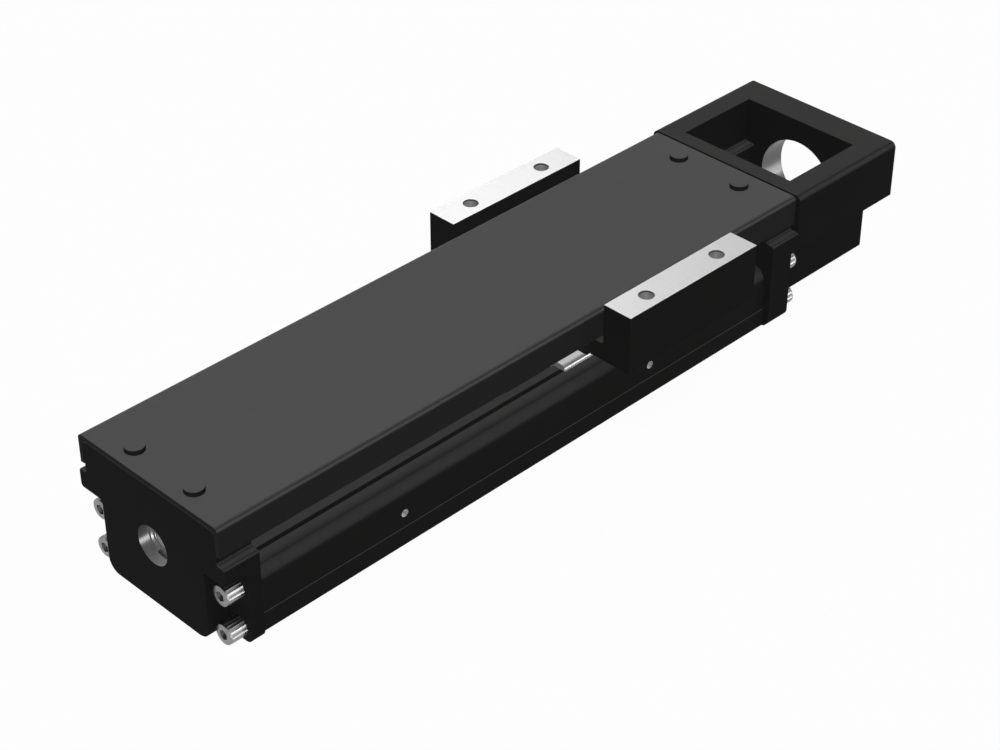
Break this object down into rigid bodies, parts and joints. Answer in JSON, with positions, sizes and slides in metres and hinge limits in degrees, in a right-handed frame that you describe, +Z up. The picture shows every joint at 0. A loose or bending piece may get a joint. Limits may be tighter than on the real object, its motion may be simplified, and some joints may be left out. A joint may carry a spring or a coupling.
{
  "type": "ball screw linear module",
  "caption": "Covered single-axis linear module: a U-shaped rail with a ball screw, end housings, a sheet cover and a carriage with side mounting bars.",
  "frame": {"origin": "middle of the whole module's underside", "axes": "+X along the rail towards the motor end, +Y to the left seen from the front end, +Z up"},
  "size_m": [0.294, 0.0868, 0.0477],
  "materials": {
    "black_rail": "black oxide on ground steel, satin",
    "black_housing": "black anodised, satin",
    "grey_cover": "dark grey anodised sheet, satin",
    "cover_screw": "dark grey low heads",
    "black_table": "black anodised with ground bright pads",
    "ground_steel": "ground bright",
    "bearing_steel": "polished",
    "bright_bolt": "plated, bright",
    "dark_steel": "black oxide",
    "black_rubber": "matt",
    "green_plastic": "moulded, matt",
    "brass_fitting": "machined"
  },
  "bodies": {
    "base": {"base_rail": "black_rail", "front_housing": "black_housing", "motor_housing": "black_housing", "top_cover": "grey_cover", "cover_screws": "cover_screw", "front_housing_bolts": "bright_bolt", "motor_housing_bolts": "bright_bolt", "front_bearing_outer_ring": "bearing_steel", "front_bearing_balls": "bearing_steel", "front_bearing_shields": "bearing_steel", "front_snap_ring": "bearing_steel", "rear_bearing_outer_rings": "bearing_steel", "rear_bearing_balls": "bearing_steel", "bearing_retainer": "black_housing", "front_stopper": "black_rubber", "rear_stopper": "black_rubber"},
    "screw": {"ball_screw": "ground_steel", "front_bearing_inner_ring": "bearing_steel", "rear_bearing_inner_rings": "bearing_steel", "bearing_spacer": "bearing_steel", "lock_nut": "dark_steel"},
    "carriage": {"slide_block": "ground_steel", "ball_nut": "ground_steel", "screw_wipers": "black_rubber", "guide_balls": "bearing_steel", "front_end_plate": "green_plastic", "rear_end_plate": "green_plastic", "front_end_seal": "black_rubber", "rear_end_seal": "black_rubber", "grease_nipple": "brass_fitting", "carriage_table": "black_table"}
  },
  "joints": [
    {"name": "carriage_slide", "type": "slide", "parent": "base", "child": "carriage", "axis": [1, 0, 0], "range_m": [-0.1164, 0.0033]},
    {"name": "screw_spin", "type": "hinge", "parent": "base", "child": "screw", "pos_m": [0, 0, 0.0217], "axis": [1, 0, 0], "range_deg": [-130, 4200]}
  ],
  "couplings": [
    {"joint": "screw_spin", "follows": "carriage_slide", "rad_per_m": -628.32}
  ]
}
